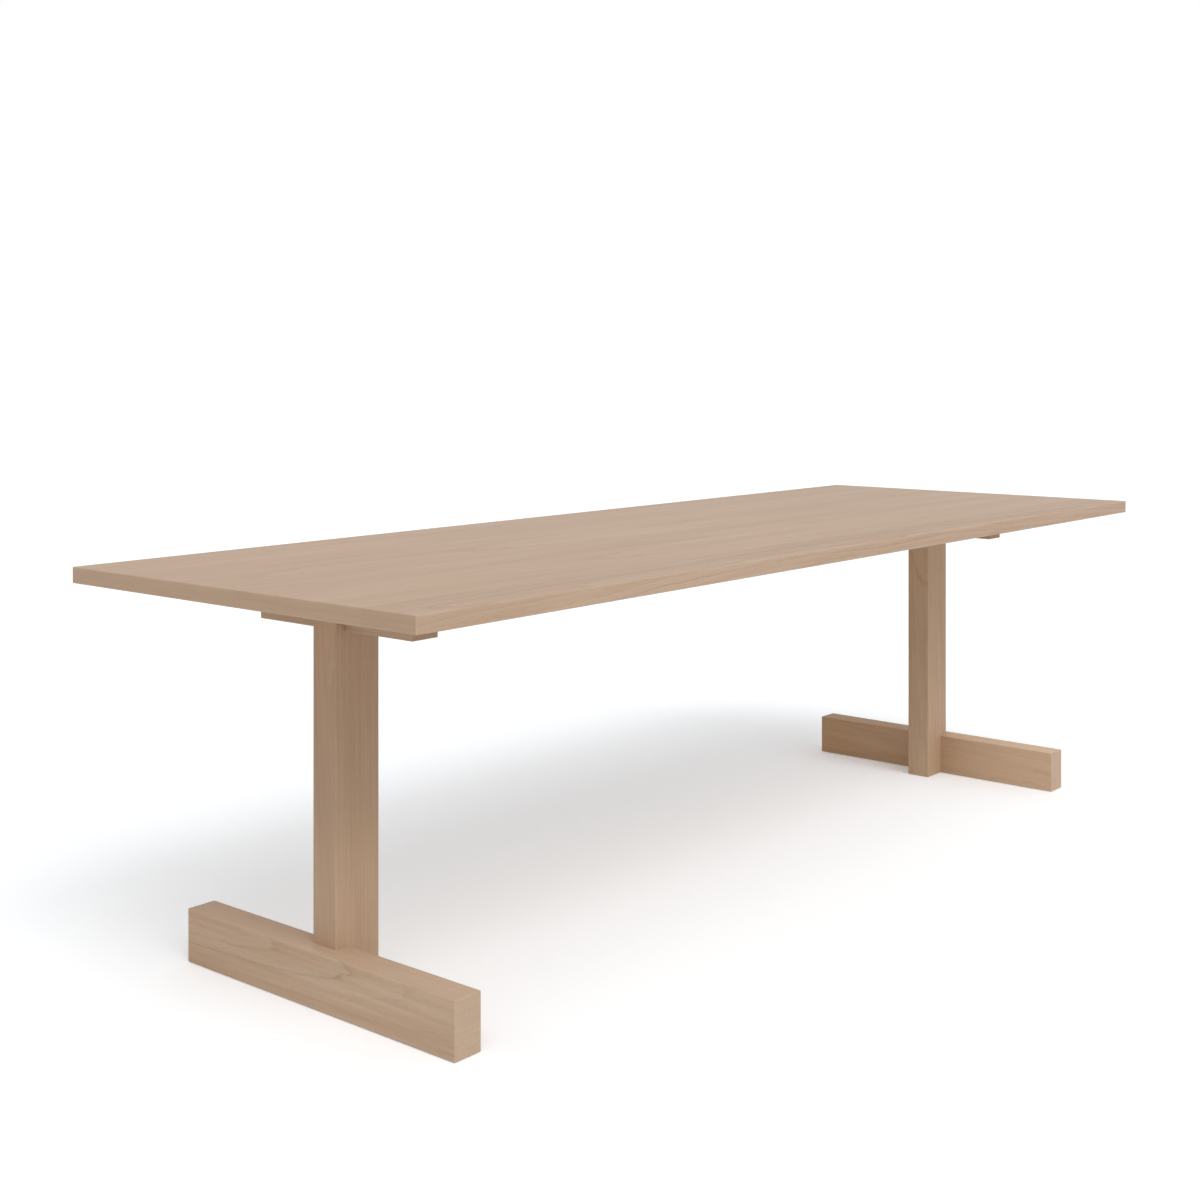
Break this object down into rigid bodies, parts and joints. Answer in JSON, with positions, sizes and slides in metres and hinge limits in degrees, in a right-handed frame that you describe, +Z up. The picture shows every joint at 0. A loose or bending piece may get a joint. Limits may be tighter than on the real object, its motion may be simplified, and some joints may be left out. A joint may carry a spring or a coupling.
{
  "type": "communion table",
  "caption": "Long plain communion table: a solid hardwood top on pedestals, each a foot bar, a post forked at its head and a bearer under the top.",
  "frame": {"origin": "on the floor, under the middle of the top", "axes": "+X along the top to its right end, +Y to the back, +Z up"},
  "size_m": [2.6, 0.9, 0.745],
  "materials": {
    "oiled_hardwood": "pale, oiled, matt",
    "beech_dowel": "planed, unfinished",
    "zinc_plated_steel": "zinc plated",
    "black_coated_steel": "matt black powder coat",
    "nylon": "moulded, matt"
  },
  "bodies": {
    "root": {"left_bearer": "oiled_hardwood", "left_bearer_dowels": "beech_dowel", "left_bolt_washers": "zinc_plated_steel", "left_floor_glides": "nylon", "left_foot": "oiled_hardwood", "left_foot_dowels": "beech_dowel", "left_post": "oiled_hardwood", "left_top_bolts": "zinc_plated_steel", "left_top_inserts": "zinc_plated_steel", "right_bearer": "oiled_hardwood", "right_bearer_dowels": "beech_dowel", "right_bolt_washers": "zinc_plated_steel", "right_floor_glides": "nylon", "right_foot": "oiled_hardwood", "right_foot_dowels": "beech_dowel", "right_post": "oiled_hardwood", "right_top_bolts": "zinc_plated_steel", "right_top_inserts": "zinc_plated_steel", "stiffener_1": "black_coated_steel", "stiffener_2": "black_coated_steel", "stiffener_3": "black_coated_steel", "stiffener_screws": "zinc_plated_steel", "top_board_1": "oiled_hardwood", "top_board_2": "oiled_hardwood", "top_board_3": "oiled_hardwood", "top_board_4": "oiled_hardwood", "top_tongues": "beech_dowel"}
  },
  "joints": []
}
